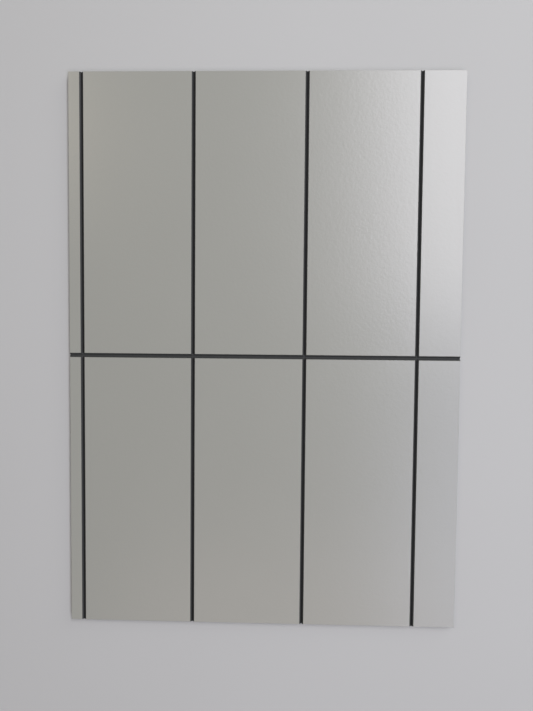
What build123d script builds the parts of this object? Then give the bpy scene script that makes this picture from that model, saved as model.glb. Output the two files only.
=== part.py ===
from build123d import *
import os
from math import radians, tan

# Sheet, in millimetres
panel_width = 210.0
panel_height = 297.0
panel_thickness = 4.0
edge_arris = 0.1

# Tile lines milled into the face, measured from the left and lower edges to the middle of each groove
first_column = 7.0
column_pitch = 60.0
row_line = 146.5

# One pointed cutter mills every groove: a V with a narrow flat at its root, wider where it runs deeper
column_groove = 2.2
row_groove = 2.4
groove_root = 0.2
wall_slope = 45.0

# The sheet lies on its back with its middle over the origin, face up, left edge at -X and lower edge at -Y
left_edge = -panel_width / 2
lower_edge = -panel_height / 2

# Every upright groove that falls on the sheet
column_count = int((panel_width - first_column) // column_pitch) + 1
column_lines = [left_edge + first_column + n * column_pitch for n in range(column_count)]


def groove_section(width):
    # The wide side lies on the face, the root points into the sheet
    depth = (width - groove_root) / 2 * tan(radians(wall_slope))
    return Trapezoid(width, depth, wall_slope, rotation=180, align=(Align.CENTER, Align.MIN))


with BuildPart() as splashback_panel:
    with BuildSketch():
        Rectangle(panel_width, panel_height)
    extrude(amount=panel_thickness)

    # The sawn edges are eased all round, front and back
    face_edges = splashback_panel.faces().sort_by(Axis.Z)[-1].edges()
    back_edges = splashback_panel.faces().sort_by(Axis.Z)[0].edges()
    chamfer(face_edges + back_edges, length=edge_arris)

    # Upright grooves run out through the lower and upper edges
    with BuildSketch(Plane.XZ.offset(-lower_edge)):
        with Locations(*[(x, panel_thickness) for x in column_lines]):
            groove_section(column_groove)
    extrude(amount=-panel_height, mode=Mode.SUBTRACT)

    # The level groove crosses them and runs out through both sides
    with BuildSketch(Plane.YZ.offset(left_edge)):
        with Locations((lower_edge + row_line, panel_thickness)):
            groove_section(row_groove)
    extrude(amount=panel_width, mode=Mode.SUBTRACT)

splashback_panel.part.label = "splashback_panel"

os.makedirs("parts", exist_ok=True)
export_step(splashback_panel.part, "parts/splashback_panel.step")
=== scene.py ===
import bpy
from math import radians
from mathutils import Matrix, Vector


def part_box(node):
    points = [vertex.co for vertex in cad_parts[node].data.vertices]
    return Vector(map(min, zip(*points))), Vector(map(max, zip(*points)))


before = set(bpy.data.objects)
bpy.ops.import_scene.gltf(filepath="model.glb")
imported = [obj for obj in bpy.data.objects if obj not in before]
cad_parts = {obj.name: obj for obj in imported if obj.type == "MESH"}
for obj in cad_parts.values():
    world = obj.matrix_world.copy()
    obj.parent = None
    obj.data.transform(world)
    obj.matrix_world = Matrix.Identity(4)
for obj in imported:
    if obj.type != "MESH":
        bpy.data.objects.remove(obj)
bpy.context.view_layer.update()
panelNode = "splashback_panel"
panelLow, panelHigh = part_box(panelNode)
faceHeight = panelHigh[2]
perMetre = 1000.0  # millimetres in a metre
print("frame loaded, panel face at", round(faceHeight * perMetre, 2), "mm")


class Wire:
    # one output socket that can be used in sums
    def __init__(self, graph, socket):
        self.graph = graph
        self.socket = socket

    def maths(self, operation, first, second=0.0):
        sockets = {"Value": first, "Value_001": second}
        return self.graph.node("ShaderNodeMath", {"operation": operation}, sockets)["Value"]

    def __add__(self, other):
        return self.maths("ADD", self, other)

    def __radd__(self, other):
        return self.maths("ADD", other, self)

    def __sub__(self, other):
        return self.maths("SUBTRACT", self, other)

    def __rsub__(self, other):
        return self.maths("SUBTRACT", other, self)

    def __mul__(self, other):
        return self.maths("MULTIPLY", self, other)

    def __rmul__(self, other):
        return self.maths("MULTIPLY", other, self)

    def __abs__(self):
        return self.maths("ABSOLUTE", self)

    def orMore(self, other):
        return self.maths("MAXIMUM", self, other)


class Graph:
    # the nodes of one material or of the world
    def __init__(self, owner):
        owner.use_nodes = True
        self.tree = owner.node_tree
        self.tree.nodes.clear()

    def node(self, kind, settings, sockets):
        made = self.tree.nodes.new(kind)
        for name, value in settings.items():
            setattr(made, name, value)
        inputs = {socket.identifier: socket for socket in made.inputs}
        for name, value in sockets.items():
            if isinstance(value, Wire):
                self.tree.links.new(value.socket, inputs[name])
            else:
                inputs[name].default_value = value
        return {socket.identifier: Wire(self, socket) for socket in made.outputs}

    def step(self, value, start, end):
        # 0 at start and 1 at end, softly between them; start may be the greater
        settings = {"interpolation_type": "SMOOTHSTEP"}
        sockets = {"Value": value, "From Min": start, "From Max": end}
        return self.node("ShaderNodeMapRange", settings, sockets)["Result"]

    def noise(self, vector, size, detail):
        # size is the grain in millimetres, the answer runs from about -0.5 to 0.5
        sockets = {"Vector": vector, "Scale": perMetre / size, "Detail": detail, "Roughness": 0.5}
        return self.node("ShaderNodeTexNoise", {}, sockets)["Fac"] - 0.5

    def lines(self, vector, repeats, detail):
        # noise drawn out into lines, with so many repeats in a metre along X, Y and Z
        sockets = {"Vector": vector, "Scale": repeats}
        stretched = self.node("ShaderNodeMapping", {}, sockets)["Vector"]
        return self.noise(stretched, perMetre, detail)

    def split(self, vector):
        return self.node("ShaderNodeSeparateXYZ", {}, {"Vector": vector}).values()

    def shade(self, colour, factor):
        # a colour made lighter or darker by a factor near 1
        sockets = {"Vector": colour, "Scale": factor}
        return self.node("ShaderNodeVectorMath", {"operation": "SCALE"}, sockets)["Vector"]

    def bump(self, height, depth):
        # depth in millimetres is the relief where height goes from 0 to 1
        sockets = {"Strength": 1.0, "Distance": depth / perMetre, "Height": height}
        return self.node("ShaderNodeBump", {}, sockets)["Normal"]

    def principled(self, sockets):
        return self.node("ShaderNodeBsdfPrincipled", {}, sockets)["BSDF"]

    def mixed(self, share, first, second):
        sockets = {"Fac": share, "Shader": first, "Shader_001": second}
        return self.node("ShaderNodeMixShader", {}, sockets)["Shader"]

    def surface(self, shader):
        self.node("ShaderNodeOutputMaterial", {}, {"Surface": shader})

    def seenDirectly(self):
        # 1 for rays from the camera and for mirrored ones, 0 for light that falls on a surface
        ray = self.node("ShaderNodeLightPath", {}, {})
        return ray["Is Camera Ray"].orMore(ray["Is Glossy Ray"]).orMore(ray["Is Transmission Ray"])


# lengths are in millimetres, tones are shares of a colour
panelLook = {
    # printed face
    "sage": (0.286, 0.290, 0.246),
    "faceRoughness": 0.295,
    "cloudSize": 45.0,
    "cloudTone": 0.03,
    "cloudRoughness": 0.02,
    "fleckSize": 0.5,
    "fleckTone": 0.03,
    "stippleSize": 1.5,
    "stippleDepth": 0.040,
    "fineStippleSize": 0.6,
    "fineStippleShare": 0.1,
    # where the print ends
    "lipDepth": 0.04,           # print on the lip of a groove
    "rimDepth": 0.16,           # print over the eased outer edge
    "rimWidth": 0.11,           # reach of that edge
    "rimFade": 0.022,           # softness of its inner side
    "printFade": 0.01,          # softness of the print's end
    "wobbleSize": 0.25,
    "wobble": 0.3,              # share of the print's depth
    # dark body, seen in the grooves, on the edges and on the back
    "core": (0.040, 0.042, 0.039),
    "coreRoughness": 0.55,
    "backRoughness": 0.70,
    "coreShine": 0.2,
    "speckSize": 0.8,
    "speckTone": 0.35,
    "markDepth": 0.008,         # relief of cutter, saw and sanding marks
    # grooves, with painted shade darkening the root of the upright ones
    "rootShadeStart": 0.45,          # depth where the painted shade at the root begins
    "rootShadeDepth": 1.0,
    "rootShadeTone": 0.9,
    "rowPlace": -2.0,           # the level groove, up from the middle
    "rowReach": 1.3,            # to each side of it
    "rowFade": 0.13,
    "cutterPitch": 0.4,         # between feed marks
    "feedLength": 25.0,         # of one feed mark
    "feedRelief": 0.8,          # share of markDepth
    # edges and back, with repeats in a metre along X, Y and Z
    "sawLines": (1800.0, 1800.0, 60.0),
    "sawTone": 0.35,
    "sandingLines": (2600.0, 30.0, 30.0),
    "sandingTone": 0.5,
    # upward share of the normal, from outside each soft mask to inside it
    "rootShadeFacing": (0.3, 0.6),
    "edgeFacing": (0.5, 0.1),   # up or down
    "backFacing": (-0.5, -0.9),
}


def makePanelFinish(look):
    material = bpy.data.materials.new("sageLaminate")
    finish = Graph(material)
    coords = finish.node("ShaderNodeTexCoord", {}, {})
    spot = coords["Object"]
    x, y, z = finish.split(spot)
    across, along, upward = finish.split(coords["Normal"])
    depth = (faceHeight - z) * perMetre

    # sage on the face, the lips of the grooves and the eased outer edge, core below it
    rimStart = look["rimWidth"] + look["rimFade"]
    sideEdge = finish.step((panelHigh[0] - abs(x)) * perMetre, rimStart, look["rimWidth"])
    endEdge = finish.step((panelHigh[1] - abs(y)) * perMetre, rimStart, look["rimWidth"])
    rim = sideEdge.orMore(endEdge)
    printed = look["lipDepth"] + rim * (look["rimDepth"] - look["lipDepth"])
    wobble = 1 + finish.noise(spot, look["wobbleSize"], detail=1.0) * look["wobble"]
    sunk = finish.step(depth - printed * wobble, -look["printFade"], look["printFade"])

    # face: faint clouds in the print, a soft stipple in the lacquer
    clouds = finish.noise(spot, look["cloudSize"], detail=3.0)
    fleck = finish.noise(spot, look["fleckSize"], detail=2.0)
    coarse = finish.noise(spot, look["stippleSize"], detail=2.0)
    fine = finish.noise(spot, look["fineStippleSize"], detail=1.0)
    faceTone = 1 + clouds * look["cloudTone"] + fleck * look["fleckTone"]
    face = finish.principled({
        "Base Color": finish.shade(look["sage"], faceTone),
        "Roughness": look["faceRoughness"] + clouds * look["cloudRoughness"],
        "Normal": finish.bump(coarse + fine * look["fineStippleShare"], look["stippleDepth"]),
    })

    # grooves: feed marks square to each groove, and painted shade darkens the root of the upright
    # ones
    close = perMetre / look["cutterPitch"]
    long = perMetre / look["feedLength"]
    uprightFeed = finish.lines(spot, (long, close, long), detail=1.0) * abs(across)
    levelFeed = finish.lines(spot, (close, long, long), detail=1.0) * abs(along)
    rowDistance = abs(y * perMetre - look["rowPlace"])
    inRow = finish.step(rowDistance, look["rowReach"], look["rowReach"] - look["rowFade"])
    facesUp = finish.step(upward, *look["rootShadeFacing"])
    # painted shade: the core colour is darkened towards the root of the upright grooves, not in the
    # level one
    rootShade = finish.step(depth, look["rootShadeStart"], look["rootShadeDepth"]) * facesUp * (1 - inRow)

    # edges and back: saw lines through the thickness, long sanding lines
    edge = finish.step(abs(upward), *look["edgeFacing"])
    back = finish.step(upward, *look["backFacing"])
    sawLines = finish.lines(spot, look["sawLines"], detail=2.0) * edge
    sanding = finish.lines(spot, look["sandingLines"], detail=3.0) * back
    speck = finish.noise(spot, look["speckSize"], detail=3.0)
    # core tone: random specks, sanding and saw lines, less the painted shade at the groove roots
    coreTone = (1 + speck * look["speckTone"] + sanding * look["sandingTone"]
                + sawLines * look["sawTone"] - rootShade * look["rootShadeTone"])
    marks = (uprightFeed + levelFeed) * look["feedRelief"] + sawLines + sanding
    rougher = look["backRoughness"] - look["coreRoughness"]
    core = finish.principled({
        "Base Color": finish.shade(look["core"], coreTone),
        "Roughness": look["coreRoughness"] + back * rougher,
        "Specular IOR Level": look["coreShine"],
        "Normal": finish.bump(marks, look["markDepth"]),
    })

    finish.surface(finish.mixed(sunk, face, core))
    return material


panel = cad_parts[panelNode]
panelMaterial = makePanelFinish(panelLook)
for materialSlot in panel.material_slots:
    materialSlot.material = panelMaterial
print("panel finished:", panelMaterial.name)


# lengths are in metres
backdropLook = {
    "floorColour": (0.440, 0.446, 0.412),
    "floorRoughness": 0.85,
    "floorWidth": 8.0,
    "floorDrop": 0.0001,    # under the panel's back
    "cloudSize": 120.0,     # millimetres
    "cloudTone": 0.03,
    "fadeStart": 0.28,      # from the middle, where the floor starts to go over into the background
    "fadeEnd": 0.95,
    "colour": (1.0, 1.0, 1.0),
    "seen": 0.5,            # strength of the background in the picture and in reflections
    "light": 0.08,          # strength of the light that it gives
}


def makeFloor(look):
    bpy.ops.object.select_all(action="DESELECT")
    level = panelLow[2] - look["floorDrop"]
    bpy.ops.mesh.primitive_plane_add(size=look["floorWidth"], location=(0, 0, level))
    floor = bpy.context.object
    floor.name = "floor"
    bpy.ops.object.transform_apply(location=True, rotation=True, scale=True)
    material = bpy.data.materials.new("paleFloor")
    finish = Graph(material)
    spot = finish.node("ShaderNodeTexCoord", {}, {})["Object"]
    clouds = finish.noise(spot, look["cloudSize"], detail=3.0)
    paint = finish.principled({
        "Base Color": finish.shade(look["floorColour"], 1 + clouds * look["cloudTone"]),
        "Roughness": look["floorRoughness"],
    })
    # far from the panel the floor goes over into the background
    distance = finish.node("ShaderNodeVectorMath", {"operation": "LENGTH"}, {"Vector": spot})
    fade = finish.step(distance["Value"], look["fadeStart"], look["fadeEnd"]) * finish.seenDirectly()
    sockets = {"Color": (*look["colour"], 1.0), "Strength": look["seen"]}
    glow = finish.node("ShaderNodeEmission", {}, sockets)["Emission"]
    finish.surface(finish.mixed(fade, paint, glow))
    floor.data.materials.append(material)


def makeWorld(look):
    world = bpy.data.worlds.new("studio")
    bpy.context.scene.world = world
    sky = Graph(world)
    strength = look["light"] + sky.seenDirectly() * (look["seen"] - look["light"])
    sockets = {"Color": (*look["colour"], 1.0), "Strength": strength}
    background = sky.node("ShaderNodeBackground", {}, sockets)["Background"]
    sky.node("ShaderNodeOutputWorld", {}, {"Surface": background})


makeFloor(backdropLook)
makeWorld(backdropLook)
print("floor and background set")


cameraView = {
    "eye": (0.00895, 0.01101, 0.28655),     # metres from the middle of the face
    "turn": (-2.442, 1.475, 0.511),         # degrees, zero looks straight down with +Y up
    "lens": 27.04,                          # millimetres
    "sensor": 36.0,                         # millimetres, the height of the picture
    "nearest": 0.01,                        # metres
}


def makeCamera(view):
    bpy.ops.object.camera_add(location=Vector(view["eye"]) + Vector((0, 0, faceHeight)))
    camera = bpy.context.object
    camera.rotation_euler = [radians(turn) for turn in view["turn"]]
    camera.data.sensor_fit = "VERTICAL"
    camera.data.sensor_height = view["sensor"]
    camera.data.lens = view["lens"]
    camera.data.clip_start = view["nearest"]
    bpy.context.scene.camera = camera


makeCamera(cameraView)
print("camera set")


# place and size in metres, power in watts; each lamp faces the middle of the panel
lamps = {
    "window": {
        "place": (0.54, 0.60, 1.35), "size": (0.45, 1.15),
        "power": 20.9, "colour": (0.92, 0.908, 1.0),
    },
    "sideFill": {
        "place": (1.00, 0.95, 0.55), "size": (0.7, 1.0),
        "power": 4.3, "colour": (1.0, 1.0, 1.0),
    },
    "leftFill": {
        "place": (-0.80, 0.70, 1.35), "size": (0.26, 0.40),
        "power": 2.1, "colour": (1.0, 0.84, 0.66),
    },
    "lowFill": {
        "place": (0.56, -0.38, 1.15), "size": (0.42, 1.0),
        "power": 6.67, "colour": (0.76, 0.78, 1.0),
    },
    "bounce": {
        "place": (0.05, -0.80, 1.15), "size": (1.0, 0.35),
        "power": 1.8, "colour": (1.0, 0.8, 0.78),
    },
}


def faceMiddle(place):
    # turns a lamp towards the origin with its width level, along X
    outward = Vector(place).normalized()
    side = Vector((0, 1, 0)).cross(outward).normalized()
    return Matrix((side, outward.cross(side), outward)).transposed().to_euler()


def makeLamp(name, lamp):
    bpy.ops.object.light_add(type="AREA", location=lamp["place"])
    made = bpy.context.object
    made.name = name
    made.rotation_euler = faceMiddle(lamp["place"])
    made.data.shape = "RECTANGLE"
    made.data.size, made.data.size_y = lamp["size"]
    made.data.energy = lamp["power"]
    made.data.color = lamp["colour"]
    made.visible_camera = False


for lampName, lampLook in lamps.items():
    makeLamp(lampName, lampLook)
bpy.context.scene.view_settings.view_transform = "Standard"
print("lights set")
